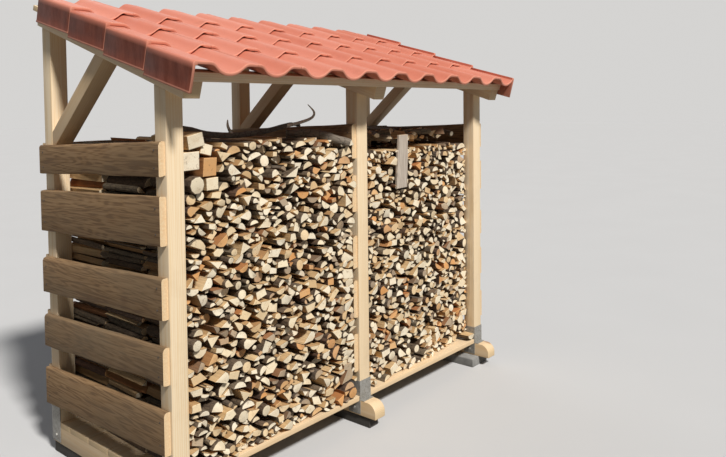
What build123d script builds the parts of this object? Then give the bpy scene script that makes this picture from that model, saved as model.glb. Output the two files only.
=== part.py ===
from build123d import *
import os
from math import asin, cos, degrees, radians, sin, tan
from random import Random

os.makedirs("parts", exist_ok=True)

# Frames: three of them stand side by side, each a front post, a back post,
# a bearer on the ground, a rafter and a brace
frame_names = ("left", "middle", "right")
bay_pitch = 970.0
post_width = 68.0
post_depth = 64.0
frame_depth = 845.0

# Feet: a narrow strip under the left and middle bearers, a wide stone that
# lies off centre under the right one
kerb_widths = (58.0, 58.0, 150.0)
kerb_shifts = (0.0, 0.0, -19.0)
kerb_front_reaches = (50.0, 50.0, 25.0)
kerb_height = 46.0
kerb_edge_round = 8.0
bearer_height = 67.0
nose_reach = 86.0
nose_radius = 45.0

# Galvanised shoes that hold the posts on the bearers
shoe_plate = 3.0
shoe_height = 88.0
shoe_skirt = 60.0
shoe_toe = 22.0
bolt_radius = 8.0
bolt_proud = 5.0
bolt_drop = 34.0

# Deck of boards that run the whole width
deck_thickness = 22.0
deck_board_count = 6
deck_gap = 4.0
notch_clearance = 1.0

# Rough boards, lowest first: how far each one's lower edge is above the deck
# at the front, and the boards' heights on each side and at the back
board_places = (110.0, 349.0, 571.0, 820.0, 1054.0)
left_board_heights = (150.0, 129.0, 142.0, 167.0, 115.0)
middle_board_heights = (168.0, 167.0, 142.0, 160.0, 150.0)
right_board_heights = (146.0, 150.0, 134.0, 158.0, 128.0)
back_board_heights = (152.0, 140.0, 148.0, 156.0, 124.0)
side_board_thickness = 25.0
side_board_setback = 9.0
side_board_fall = 34.0
back_board_thickness = 22.0

# Roof timbers
roof_slope = 17.9
eave_reach = 184.0
eave_height = 1469.0
rafter_depth = 57.0
rafter_reach = 95.0
brace_angle = 40.5
brace_width = 56.0
brace_drop = 263.0
batten_height = 22.0
batten_width = 38.0
eave_batten_width = 45.0
batten_head_margin = 12.0
rafter_rear_reach = 38.0

# Clay pantiles
tile_cover = 204.0
tile_gauge = 263.0
tile_headlap = 75.0
tile_courses = 4
tile_thickness = 13.0
tile_drop = 34.0
pan_radius = 80.0
flank_angle = 45.0
lap_clearance = 0.4
side_joint = 0.6
first_pan = 152.0
last_pan = 76.4
verge_reach = 30.0
verge_thickness = 13.0
verge_skirt = 61.0
verge_round = 9.0
verge_joint = 3.0

# Firewood: courses of split billets that run from front to back
wood_front_setback = 3.0
wood_back_setback = 4.0
wood_end_scatter = 20.0
wood_side_clearance = 0.4
billet_clearance = 0.3
bundle_width = 118.0
bundle_scatter = 0.22
bundle_slant = 9.0
corner_loss = 0.42
course_sway = 4.0
course_phase = 2.0
sway_length = 115.0
left_stack_height = 1146.0
left_stack_courses = 9
left_stack_seed = 3
right_stack_height = 1108.0
right_stack_courses = 9
right_stack_seed = 12
top_sway = 13.0
rear_course_height = 52.0
rear_course_setback = 272.0

frame_width = 2 * bay_pitch + post_width
bearer_top = kerb_height + bearer_height
deck_top = bearer_top + deck_thickness
tile_length = tile_gauge + tile_headlap
tile_tilt = degrees(asin((tile_thickness + lap_clearance) / tile_gauge))
tile_slope = roof_slope - tile_tilt
roof_width = frame_width + 2 * verge_reach
pans_width = roof_width - first_pan - last_pan
tile_columns = round(pans_width / tile_cover) + 1
tile_pitch = pans_width / (tile_columns - 1)
shoulder_radius = tile_drop / (1 - cos(radians(flank_angle))) - pan_radius
eave_z = kerb_height + eave_height

# The origin is at the middle of the footprint: across at the middle frame,
# and from the front tip of the eave to the upper edge of the tiles
tail_tip = (tile_drop + tile_thickness) * sin(radians(tile_slope))
front_edge = -eave_reach - tail_tip
back_edge = (
    -eave_reach
    + (tile_courses - 1) * tile_gauge * cos(radians(roof_slope))
    + tile_length * cos(radians(tile_slope))
)
face_y = -(front_edge + back_edge) / 2


def frame_left(index):
    """Left face of a frame's timbers."""
    return index * bay_pitch - frame_width / 2


def roof_point(along, above):
    """Point of the roof's side view, from the underside of the eave's pans."""
    slope = radians(roof_slope)
    y = face_y - eave_reach + along * cos(slope) - above * sin(slope)
    z = eave_z + along * sin(slope) + above * cos(slope)
    return (y, z)


def roof_height(y, above):
    """Height of a line that runs parallel to the roof, at depth y."""
    slope = radians(roof_slope)
    start_y, start_z = roof_point(0, above)
    return start_z + (y - start_y) * tan(slope)


def along_roof(y, above):
    """Distance up the slope at which a roof line reaches depth y."""
    start_y, start_z = roof_point(0, above)
    return (y - start_y) / cos(radians(roof_slope))


def pan_fall(along):
    """How far the pans' underside has sunk below the roof line, up one tile."""
    return along * sin(radians(tile_tilt))


last_head = tile_length - batten_head_margin
rafter_top = -pan_fall(last_head) - batten_height
rafter_under = rafter_top - rafter_depth

front_y = face_y
back_y = face_y + frame_depth
back_post_y = back_y - post_depth


def save(name, part):
    """Name a finished piece and write it."""
    part.label = name
    export_step(part, f"parts/{name}.step")


def side_outline(points, left, width):
    """Add a flat piece, drawn in side view, that runs from left to right."""
    with BuildSketch(Plane.YZ.offset(left)) as outline:
        with BuildLine():
            Polyline(*points, close=True)
        make_face()
    extrude(outline.sketch, amount=width)


# Kerb stones lie flat under the bearers
for index, name in enumerate(frame_names):
    with BuildPart() as kerb:
        kerb_x = frame_left(index) + post_width / 2 + kerb_shifts[index]
        kerb_front = front_y - kerb_front_reaches[index]
        with BuildSketch(Plane.XY):
            with Locations((kerb_x, (kerb_front + back_y) / 2)):
                Rectangle(kerb_widths[index], back_y - kerb_front)
        extrude(amount=kerb_height)
        top_edges = kerb.edges().group_by(Axis.Z)[-1]
        fillet(top_edges.filter_by(Axis.Y), radius=kerb_edge_round)
    save(f"kerb_{name}", kerb.part)

# Bearers run front to back, with a rounded nose in front of the post
for index, name in enumerate(frame_names):
    with BuildPart() as bearer:
        with BuildSketch(Plane.YZ.offset(frame_left(index))):
            with BuildLine():
                nose_y = face_y - nose_reach
                Line((back_y, kerb_height), (nose_y, kerb_height))
                Line((nose_y, kerb_height), (nose_y, bearer_top - nose_radius))
                TangentArc(
                    (nose_y, bearer_top - nose_radius),
                    (nose_y + nose_radius, bearer_top),
                    tangent=(0, 1),
                )
                Line((nose_y + nose_radius, bearer_top), (back_y, bearer_top))
                Line((back_y, bearer_top), (back_y, kerb_height))
            make_face()
        extrude(amount=post_width)
    save(f"bearer_{name}", bearer.part)

# Posts stand on the bearers and are cut to the rafter's slope
for index, name in enumerate(frame_names):
    for place, start in (("front", front_y), ("back", back_post_y)):
        end = start + post_depth
        outline = (
            (start, bearer_top),
            (end, bearer_top),
            (end, roof_height(end, rafter_under)),
            (start, roof_height(start, rafter_under)),
        )
        with BuildPart() as post:
            side_outline(outline, frame_left(index), post_width)
        save(f"{place}_post_{name}", post.part)

# Rafters lie on the posts: square cut at the eave, plumb cut at the back
rafter_start = along_roof(face_y - rafter_reach, rafter_under)
rafter_rear = back_y + rafter_rear_reach
for index, name in enumerate(frame_names):
    outline = (
        roof_point(rafter_start, rafter_under),
        (rafter_rear, roof_height(rafter_rear, rafter_under)),
        (rafter_rear, roof_height(rafter_rear, rafter_top)),
        roof_point(rafter_start, rafter_top),
    )
    with BuildPart() as rafter:
        side_outline(outline, frame_left(index), post_width)
    save(f"rafter_{name}", rafter.part)


def brace_meets_rafter(post_z):
    """Where a brace edge that leaves the back post at post_z meets the rafter."""
    rise = tan(radians(brace_angle))
    under_at_post = roof_height(back_post_y, rafter_under)
    run = (under_at_post - post_z) / (rise + tan(radians(roof_slope)))
    return (back_post_y - run, post_z + run * rise)


# Braces run from the back post up to the middle of the rafter
for index, name in enumerate(frame_names):
    lower_z = eave_z - brace_drop
    upper_z = lower_z + brace_width / cos(radians(brace_angle))
    outline = (
        (back_post_y, lower_z),
        (back_post_y, upper_z),
        brace_meets_rafter(upper_z),
        brace_meets_rafter(lower_z),
    )
    with BuildPart() as brace:
        side_outline(outline, frame_left(index), post_width)
    save(f"brace_{name}", brace.part)

# Shoes: a folded plate round three sides of each post's foot, whose cheeks
# reach down over the bearer and carry one bolt each
shoe_places = (("front", front_y, 1), ("back", back_y, -1))
for index, name in enumerate(frame_names):
    left = frame_left(index)
    right = left + post_width
    cheek_height = shoe_height + shoe_skirt
    cheek_z = bearer_top + shoe_height - cheek_height / 2
    centre_x = left + post_width / 2
    for place, outer_y, inward in shoe_places:
        plate_y = outer_y - inward * shoe_plate / 2
        cheek_y = outer_y + inward * (post_depth - shoe_plate) / 2
        bolt_y = outer_y + inward * post_depth / 2
        bolt_z = bearer_top - bolt_drop
        with BuildPart() as shoe:
            with Locations((centre_x, plate_y, bearer_top + shoe_height / 2)):
                Box(post_width, shoe_plate, shoe_height)
            for cheek_x, outward in ((left, -1), (right, 1)):
                with Locations((cheek_x + outward * shoe_plate / 2, cheek_y, cheek_z)):
                    Box(shoe_plate, post_depth + shoe_plate, cheek_height)
                with BuildSketch(Plane.YZ.offset(cheek_x + outward * shoe_plate)):
                    with Locations((bolt_y, bolt_z)):
                        RegularPolygon(bolt_radius, 6)
                extrude(amount=outward * bolt_proud)
            if place == "front":
                with Locations((centre_x, front_y - shoe_toe / 2, bearer_top + shoe_plate / 2)):
                    Box(post_width, shoe_toe, shoe_plate)
        save(f"{place}_shoe_{name}", shoe.part)

# Deck boards are notched round the posts and their shoes
deck_board_width = (frame_depth - (deck_board_count - 1) * deck_gap) / deck_board_count
notch_margin = shoe_plate + notch_clearance
with BuildPart() as deck:
    with BuildSketch(Plane.XY.offset(bearer_top)):
        board_pitch = deck_board_width + deck_gap
        with Locations((0, (front_y + back_y) / 2)):
            with GridLocations(0, board_pitch, 1, deck_board_count):
                Rectangle(frame_width, deck_board_width)
        for index in range(len(frame_names)):
            post_centre = frame_left(index) + post_width / 2
            for edge_y in (front_y, back_y):
                with Locations((post_centre, edge_y)):
                    Rectangle(
                        post_width + 2 * notch_margin,
                        2 * (post_depth + notch_clearance),
                        mode=Mode.SUBTRACT,
                    )
    extrude(amount=deck_thickness)
save("deck_boards", deck.part)


def board_levels(heights):
    """Underside and top of each board at the front posts, lowest first."""
    places = [deck_top + place for place in board_places]
    return [(under, under + height) for under, height in zip(places, heights)]


# Side boards are nailed on the left of the left and middle frames,
# and on the outside of the right frame
side_faces = (
    frame_left(0) - side_board_thickness,
    frame_left(1) - side_board_thickness,
    frame_left(2) + post_width,
)
side_heights = (left_board_heights, middle_board_heights, right_board_heights)
for name, face, heights in zip(frame_names, side_faces, side_heights):
    with BuildPart() as boards:
        for under, top in board_levels(heights):
            outline = (
                (front_y + side_board_setback, under),
                (back_y, under - side_board_fall),
                (back_y, top - side_board_fall),
                (front_y + side_board_setback, top),
            )
            side_outline(outline, face, side_board_thickness)
    save(f"side_boards_{name}", boards.part)

# Back boards run the whole width behind the back posts
with BuildPart() as back_boards:
    for under, top in board_levels(back_board_heights):
        centre_z = (under + top) / 2 - side_board_fall
        with Locations((0, back_y + back_board_thickness / 2, centre_z)):
            Box(frame_width, back_board_thickness, top - under)
save("back_boards", back_boards.part)

# Battens lie across the rafters, inside the verge skirts
batten_length = roof_width - 2 * (verge_thickness + verge_joint)


def batten(start, width, under, top):
    """Add a batten along the roof, from its lower edge up the slope."""
    outline = (
        roof_point(start, under),
        roof_point(start + width, under),
        roof_point(start + width, top),
        roof_point(start, top),
    )
    side_outline(outline, -batten_length / 2, batten_length)


with BuildPart() as eave_batten:
    eave_batten_start = rafter_start
    eave_batten_top = -pan_fall(eave_batten_start + eave_batten_width) - lap_clearance
    batten(eave_batten_start, eave_batten_width, rafter_top, eave_batten_top)
save("eave_batten", eave_batten.part)

with BuildPart() as tile_battens:
    for course in range(tile_courses):
        head = course * tile_gauge + last_head
        batten(head - batten_width, batten_width, rafter_top, rafter_top + batten_height - lap_clearance)
save("tile_battens", tile_battens.part)


def course_plane(course):
    """Plane of a course's front edge: x to the right, y off the roof."""
    slope = radians(tile_slope)
    y, z = roof_point(course * tile_gauge, 0)
    return Plane(origin=(0, y, z), x_dir=(1, 0, 0), z_dir=(0, -cos(slope), -sin(slope)))


def pan_centre(column):
    """Middle of a pan, counted from the left verge."""
    return first_pan - verge_reach - frame_width / 2 + column * tile_pitch


def pan_curve(centre, lift):
    """Draw one pan from the crest on its left to the crest on its right."""
    flank = radians(flank_angle)
    half_flank = flank / 2
    half = tile_pitch / 2
    flat = half - (pan_radius + shoulder_radius) * sin(flank)
    crest = tile_drop + lift
    foot_x = pan_radius * sin(flank)
    foot_y = pan_radius * (1 - cos(flank)) + lift
    mid_x = half - flat - shoulder_radius * sin(half_flank)
    mid_y = crest - shoulder_radius * (1 - cos(half_flank))
    Line((centre - half, crest), (centre - half + flat, crest))
    ThreePointArc((centre - half + flat, crest), (centre - mid_x, mid_y), (centre - foot_x, foot_y))
    ThreePointArc((centre - foot_x, foot_y), (centre, lift), (centre + foot_x, foot_y))
    ThreePointArc((centre + foot_x, foot_y), (centre + mid_x, mid_y), (centre + half - flat, crest))
    Line((centre + half - flat, crest), (centre + half, crest))


def pantile_run(course, first, last, length, crest_reach=0.0):
    """Add a run of pantiles as one sheet, its first crest widened by crest_reach."""
    run_start = pan_centre(first) - tile_pitch / 2
    left = run_start - crest_reach
    right = pan_centre(last) + tile_pitch / 2
    with BuildSketch(course_plane(course)) as section:
        with BuildLine():
            for lift in (0, tile_thickness):
                for column in range(first, last + 1):
                    pan_curve(pan_centre(column), lift)
                if crest_reach > 0:
                    Line((left, tile_drop + lift), (run_start, tile_drop + lift))
            for edge in (left, right):
                Line((edge, tile_drop), (edge, tile_drop + tile_thickness))
        make_face()
    extrude(section.sketch, amount=-length)


# Each course is a sheet of eight columns between the verge tiles
for course in range(tile_courses):
    with BuildPart() as tiles:
        pantile_run(course, 1, tile_columns - 2, tile_length)
    save(f"pantile_course_{course + 1}", tiles.part)


def verge_tile(course, column, outer, inner, joint):
    """Make one verge tile: a pan, and a skirt that hangs beside the rafter."""
    skirt_length = tile_gauge - verge_joint
    gap = side_joint if inner > outer else -side_joint
    with BuildPart() as tile:
        crest_reach = max(pan_centre(column) - tile_pitch / 2 - outer, 0)
        pantile_run(course, column, column, tile_length, crest_reach)
        keep_left, keep_right = sorted((inner + gap, joint - gap))
        split(bisect_by=Plane.YZ.offset(keep_right), keep=Keep.BOTTOM)
        split(bisect_by=Plane.YZ.offset(keep_left), keep=Keep.TOP)
        with BuildSketch(course_plane(course)) as skirt:
            with BuildLine():
                Polyline(
                    (outer, -verge_skirt),
                    (inner, -verge_skirt),
                    (inner, tile_drop),
                    (inner + 2 * gap, tile_drop),
                    (inner + 2 * gap, tile_drop + tile_thickness),
                    (outer, tile_drop + tile_thickness),
                    close=True,
                )
            make_face()
            outer_corners = skirt.vertices().group_by(Axis.Y)[-1]
            fillet(outer_corners.sort_by_distance((outer, tile_drop))[0], radius=verge_round)
        extrude(skirt.sketch, amount=-skirt_length)
    return tile.part


for name, column, out in (("left", 0, -1), ("right", tile_columns - 1, 1)):
    outer = out * roof_width / 2
    inner = outer - out * verge_thickness
    joint = pan_centre(column) - out * tile_pitch / 2
    with BuildPart() as verge:
        for course in range(tile_courses):
            add(verge_tile(course, column, outer, inner, joint))
    save(f"verge_tiles_{name}", verge.part)

# A bundle of billets is cut up in one of these ways: the corners of each billet,
# across and up the bundle from 0 to 1
bundle_patterns = (
    (((0, 0), (1, 0), (0, 1)), ((1, 0), (1, 1), (0, 1))),
    (
        ((0, 0), (0.52, 0), (0.55, 0.47), (0, 0.5)),
        ((0.52, 0), (1, 0), (1, 0.55), (0.55, 0.47)),
        ((0, 0.5), (0.55, 0.47), (0.48, 1), (0, 1)),
        ((0.55, 0.47), (1, 0.55), (1, 1), (0.48, 1)),
    ),
    (
        ((0, 0), (0.6, 0), (0.5, 0.5), (0, 0.45)),
        ((0.6, 0), (1, 0), (1, 0.55), (0.5, 0.5)),
        ((0, 0.45), (1, 0.55), (1, 1), (0, 1)),
    ),
    (
        ((0, 0), (0.5, 0), (0.42, 1), (0, 1)),
        ((0.5, 0), (1, 0), (1, 0.42), (0.46, 0.5)),
        ((0.46, 0.5), (1, 0.42), (1, 1), (0.42, 1)),
    ),
    (
        ((0, 0), (0.58, 0), (0, 0.56)),
        ((0.58, 0), (1, 0), (1, 0.5), (0.29, 0.28)),
        ((0, 0.56), (0.29, 0.28), (0.62, 0.38), (0.5, 1), (0, 1)),
        ((0.62, 0.38), (1, 0.5), (1, 1), (0.5, 1)),
    ),
)


def between(start, end, share):
    """Value that lies the given share of the way from start to end."""
    return start + (end - start) * share


def course_lines(height, courses):
    """Wavy lines between a stack's courses: each one's level, sway and phase."""
    lines = [(deck_top, 0, 0)]
    for course in range(1, courses + 1):
        sway = top_sway if course == courses else course_sway
        lines.append((deck_top + height * course / courses, sway, course * course_phase))
    return lines


def line_height(line, across):
    """Height of a wavy line at a place across the bay."""
    level, sway, phase = line
    return level + sway * sin(across / sway_length + phase)


def bundle_edges(chance, left, right):
    """Places where the bundles of a course meet, each at its foot and at its top."""
    edges = [(left, left)]
    count = round((right - left) / bundle_width)
    for place in range(1, count):
        middle = between(left, right, place / count)
        shift = chance.uniform(-bundle_scatter, bundle_scatter) * bundle_width
        slant = chance.uniform(-bundle_slant, bundle_slant)
        edges.append((middle + shift - slant, middle + shift + slant))
    return edges + [(right, right)]


def billet(chance, corners, front, back):
    """Make one billet, with a corner split off at random and its ends uneven."""
    centre_x = sum(x for x, _ in corners) / len(corners)
    centre_z = sum(z for _, z in corners) / len(corners)
    if len(corners) > 3:
        lost = chance.randrange(len(corners))
        share = chance.uniform(0, corner_loss)
        x, z = corners[lost]
        corners[lost] = (between(x, centre_x, share), between(z, centre_z, share))
    front += chance.uniform(0, wood_end_scatter)
    back -= chance.uniform(0, wood_end_scatter)
    with BuildPart() as wood:
        with BuildSketch(Plane.XZ.offset(-front)) as section:
            with BuildLine():
                Polyline(*corners, close=True)
            make_face()
            offset(amount=-billet_clearance, kind=Kind.INTERSECTION, mode=Mode.REPLACE)
        extrude(section.sketch, amount=front - back)
    return wood.part


def billets_of_course(chance, edges, lower, upper, front, back):
    """Make a course of billets between its lower and its upper wavy line."""
    billets = []
    for (left_foot, left_top), (right_foot, right_top) in zip(edges, edges[1:]):
        pattern = chance.choice(bundle_patterns)
        mirrored = chance.random() < 0.5
        upturned = chance.random() < 0.5
        for outline in pattern:
            corners = []
            for across, up in outline:
                across = 1 - across if mirrored else across
                up = 1 - up if upturned else up
                foot = between(left_foot, right_foot, across)
                x = between(foot, between(left_top, right_top, across), up)
                z = between(line_height(lower, x), line_height(upper, x), up)
                corners.append((x, z))
            billets.append(billet(chance, corners, front, back))
    return billets


# Firewood fills both bays. In the right one a last course lies behind the front
wood_front = front_y + wood_front_setback
wood_back = back_y - wood_back_setback
stacks = (
    (
        "left",
        frame_left(0) + post_width,
        side_faces[1],
        left_stack_height,
        left_stack_courses,
        left_stack_seed,
    ),
    (
        "right",
        frame_left(1) + post_width,
        frame_left(2) - shoe_plate,
        right_stack_height,
        right_stack_courses,
        right_stack_seed,
    ),
)
for name, left, right, height, courses, seed in stacks:
    chance = Random(seed)
    left_end = left + shoe_plate + wood_side_clearance
    right_end = right - wood_side_clearance
    lines = course_lines(height, courses)
    places = [(lower, upper, wood_front) for lower, upper in zip(lines, lines[1:])]
    if name == "right":
        level, sway, phase = lines[-1]
        rear_top = (level + rear_course_height, sway, phase)
        places.append((lines[-1], rear_top, wood_front + rear_course_setback))
    billets = []
    for lower, upper, front in places:
        edges = bundle_edges(chance, left_end, right_end)
        billets += billets_of_course(chance, edges, lower, upper, front, wood_back)
    save(f"firewood_{name}_bay", Compound(children=billets))
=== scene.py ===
import random
from math import asin, atan2, copysign, cos, hypot, pi, radians, sin, sqrt

import bmesh
import bpy
import numpy as np
from mathutils import Matrix, Vector, noise


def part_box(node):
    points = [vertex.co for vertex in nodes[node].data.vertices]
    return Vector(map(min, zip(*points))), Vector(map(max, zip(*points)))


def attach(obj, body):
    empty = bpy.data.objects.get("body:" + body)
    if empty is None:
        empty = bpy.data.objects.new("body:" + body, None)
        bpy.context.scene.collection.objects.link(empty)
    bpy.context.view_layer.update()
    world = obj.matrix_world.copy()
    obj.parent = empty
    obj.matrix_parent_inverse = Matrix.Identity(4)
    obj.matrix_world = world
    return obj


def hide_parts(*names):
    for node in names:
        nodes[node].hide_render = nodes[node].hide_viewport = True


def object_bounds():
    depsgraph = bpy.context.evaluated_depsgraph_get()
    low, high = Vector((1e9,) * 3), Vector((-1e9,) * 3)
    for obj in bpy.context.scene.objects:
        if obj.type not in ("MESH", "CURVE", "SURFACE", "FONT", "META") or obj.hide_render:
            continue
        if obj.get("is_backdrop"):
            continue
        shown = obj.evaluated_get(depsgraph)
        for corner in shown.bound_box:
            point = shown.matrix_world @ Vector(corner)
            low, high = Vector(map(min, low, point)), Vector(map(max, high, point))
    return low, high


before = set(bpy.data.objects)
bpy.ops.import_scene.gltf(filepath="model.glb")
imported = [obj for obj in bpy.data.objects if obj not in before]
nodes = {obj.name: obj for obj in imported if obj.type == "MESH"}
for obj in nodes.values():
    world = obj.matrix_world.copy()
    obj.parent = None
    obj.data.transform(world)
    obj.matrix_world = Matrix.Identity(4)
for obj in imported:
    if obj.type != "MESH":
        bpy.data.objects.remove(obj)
cad_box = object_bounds()

# Sizes in metres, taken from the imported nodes
SIDES = ("left", "middle", "right")
post_boxes = [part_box(f"front_post_{side}") for side in SIDES]
LEFTS = [low[0] for low, _ in post_boxes]
RIGHTS = [high[0] for _, high in post_boxes]
FACE_Y = post_boxes[0][0][1]
BACK_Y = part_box("back_post_left")[1][1]
DECK_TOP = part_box("deck_boards")[1][2]
BOARD_THICK = LEFTS[0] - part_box("side_boards_left")[0][0]

# The roof as the part's source has it, its tiles half a millimetre shorter
SLOPE = radians(17.9)
EAVE_REACH = 0.184
EAVE_Z = 1.515
TILE_PITCH = 0.2044
TILE_GAUGE = 0.263
TILE_LENGTH = 0.3375
TILE_THICK = 0.013
TILE_DROP = 0.034
LAP_ROOM = 0.0004
TILE_TILT = asin((TILE_THICK + LAP_ROOM) / TILE_GAUGE)
TILE_SLOPE = SLOPE - TILE_TILT
COURSES = 4
COLUMNS = 10
PAN_RADIUS = 0.080
FLANK = radians(45)
SHOULDER_RADIUS = TILE_DROP / (1 - cos(FLANK)) - PAN_RADIUS
VERGE_REACH = 0.030
VERGE_TO_PAN = 0.152
FIRST_PAN = LEFTS[0] - VERGE_REACH + VERGE_TO_PAN
SKIRT_DROP = 0.061
SKIRT_THICK = 0.013
SKIRT_LENGTH = 0.260
BRACE_ANGLE = radians(40.5)


# Materials
def linear(r, g, b):
    """A colour written as 0-255 screen values, in the renderer's linear values."""
    out = []
    for c in (r, g, b):
        c /= 255
        out.append(c / 12.92 if c <= 0.04045 else ((c + 0.055) / 1.055) ** 2.4)
    return (*out, 1.0)


class Graph:
    """Short calls for the nodes of one new material or world."""

    def __init__(self, owner, shader, values):
        owner.use_nodes = True
        self.owner = owner
        self.tree = owner.node_tree
        self.shader = self.tree.nodes[shader].inputs
        self.turn = (0, 0, 0)
        self.place = None
        self.colour = None
        for key, value in values.items():
            self.shader[key].default_value = value

    def put(self, socket, value):
        if hasattr(value, "is_output"):
            self.tree.links.new(value, socket)
        else:
            socket.default_value = value

    def add(self, kind, inputs=None, **settings):
        """A node with its settings, and its inputs by name or number."""
        node = self.tree.nodes.new("ShaderNode" + kind)
        for key, value in settings.items():
            setattr(node, key, value)
        for key, value in (inputs or {}).items():
            self.put(node.inputs[key], value)
        return node

    def coords(self, scale):
        """Places turned so that Z runs along the grain, then scaled along Z alone or, by
        three numbers, along each axis."""
        place = self.place or self.add("TexCoord").outputs["Object"]
        scale = scale if isinstance(scale, tuple) else (1, 1, scale)
        turned = self.add("Mapping", {"Vector": place, "Rotation": self.turn}).outputs["Vector"]
        return self.add("Mapping", {"Vector": turned, "Scale": scale}).outputs["Vector"]

    def attribute(self, name, output="Fac"):
        return self.add("Attribute", attribute_name=name).outputs[output]

    def noise(self, stretch, scale, detail=3.0, rough=0.55):
        inputs = {"Scale": scale, "Detail": detail, "Roughness": rough}
        inputs["Vector"] = self.coords(stretch)
        return self.add("TexNoise", inputs).outputs["Fac"]

    def waves(self, stretch, scale, distortion, detail, direction="X", kind="BANDS"):
        inputs = {"Scale": scale, "Distortion": distortion, "Detail": detail, "Detail Scale": 1.2}
        inputs["Vector"] = self.coords(stretch)
        node = self.add(
            "TexWave", inputs, wave_type=kind, bands_direction=direction, rings_direction=direction
        )
        return node.outputs["Fac"]

    def cells(self, stretch, scale, feature="F1"):
        inputs = {"Vector": self.coords(stretch), "Scale": scale}
        return self.add("TexVoronoi", inputs, feature=feature).outputs["Distance"]

    def ramp(self, value, *stops):
        node = self.add("ValToRGB", {"Fac": value})
        elements = node.color_ramp.elements
        while len(elements) < len(stops):
            elements.new(0.5)
        for element, (place, colour) in zip(elements, stops):
            element.position = place
            element.color = linear(*colour)
        return node.outputs["Color"]

    def remap(self, value, low, high, to_low=0.0, to_high=1.0):
        inputs = {
            "Value": value, "From Min": low, "From Max": high, "To Min": to_low, "To Max": to_high,
        }
        return self.add("MapRange", inputs).outputs["Result"]

    def math(self, operation, a, b=0.0):
        return self.add("Math", {0: a, 1: b}, operation=operation).outputs[0]

    def mix(self, share, a, b):
        return self.add("Mix", {0: share, 6: a, 7: b}, data_type="RGBA").outputs[2]

    def cover(self, share, tint):
        """Blend a tint over the colour so far; it may be written as screen values."""
        tint = linear(*tint) if isinstance(tint, tuple) else tint
        self.colour = self.mix(share, self.colour, tint)

    def blend(self, tint, value, none, full, share):
        """Cover by a share that grows as value goes from none to full."""
        self.cover(self.remap(value, none, full, 0.0, share), tint)

    def facing(self, axis):
        """1 where the surface faces along an axis, as the ends of a timber do."""
        inputs = {0: self.add("NewGeometry").outputs["Normal"], 1: axis}
        node = self.add("VectorMath", inputs, operation="DOT_PRODUCT")
        return self.remap(self.math("ABSOLUTE", node.outputs["Value"]), 0.85, 0.93)

    def seen(self, unseen, shown):
        """One colour for the rays that show the studio, and another for those that light it."""
        rays = self.add("LightPath").outputs
        total = rays["Is Camera Ray"]
        for kind in ("Is Glossy Ray", "Is Transmission Ray"):
            total = self.math("MAXIMUM", total, rays[kind])
        return self.mix(total, unseen, shown)

    def finish(self, rough=None, bump=None, strength=0.3, distance=0.002):
        """Lead the colour, a roughness and a bump's height to the shader."""
        self.put(self.shader["Base Color"], self.colour)
        if rough is not None:
            self.put(self.shader["Roughness"], rough)
        if bump is not None:
            inputs = {"Strength": strength, "Distance": distance, "Height": bump}
            self.put(self.shader["Normal"], self.add("Bump", inputs).outputs["Normal"])
        return self.owner


def surface(name, roughness, metallic=0.0, specular=0.5):
    """The graph of a new material."""
    values = {"Roughness": roughness, "Metallic": metallic, "Specular IOR Level": specular}
    return Graph(bpy.data.materials.new(name), "Principled BSDF", values)


def turn_to(axis):
    """Mapping rotation that brings a direction in the YZ plane, or X, onto Z."""
    if abs(axis[0]) > 0.9:
        return (0, -pi / 2, 0)
    return (atan2(axis[1], axis[2]), 0, 0)


def planed_timber(name, axis, tan=0.0):
    """Pale planed softwood: faint long grain along axis, small knots, sawn ends, and more or
    less of a tan tone."""
    g = surface(name, 0.62)
    dirt = g.noise(1, 5, 5, 0.6)
    g.turn = turn_to(axis)
    grain = g.waves(0.04, 38, 9, 3)
    streaks = g.noise(0.02, 130, 4, 0.6)
    warm = g.noise(0.12, 9, 3)
    g.colour = g.ramp(grain, (0.0, (243, 216, 174)), (0.4, (247, 224, 187)), (1.0, (250, 230, 197)))
    g.blend((234, 201, 156), warm, 0.4, 0.75, 0.4)
    g.blend((222, 186, 140), streaks, 0.48, 0.8, 0.26)
    if tan:
        g.cover(tan, (206, 168, 120))
    knots = g.cells(0.5, 4.6)
    g.blend((150, 98, 58), knots, 0.075, 0.035, 0.7)
    g.blend((192, 162, 124), dirt, 0.56, 0.8, 0.3)
    rings = g.waves(0.1, 46, 2.0, 2, "Z", "RINGS")
    ends = g.ramp(rings, (0.0, (220, 190, 146)), (1.0, (232, 206, 164)))
    g.cover(g.facing(axis), ends)
    height = g.math("ADD", streaks, g.math("MULTIPLY", grain, 0.2))
    return g.finish(g.remap(streaks, 0.3, 0.8, 0.52, 0.74), height, 0.25, 0.0010)


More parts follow.
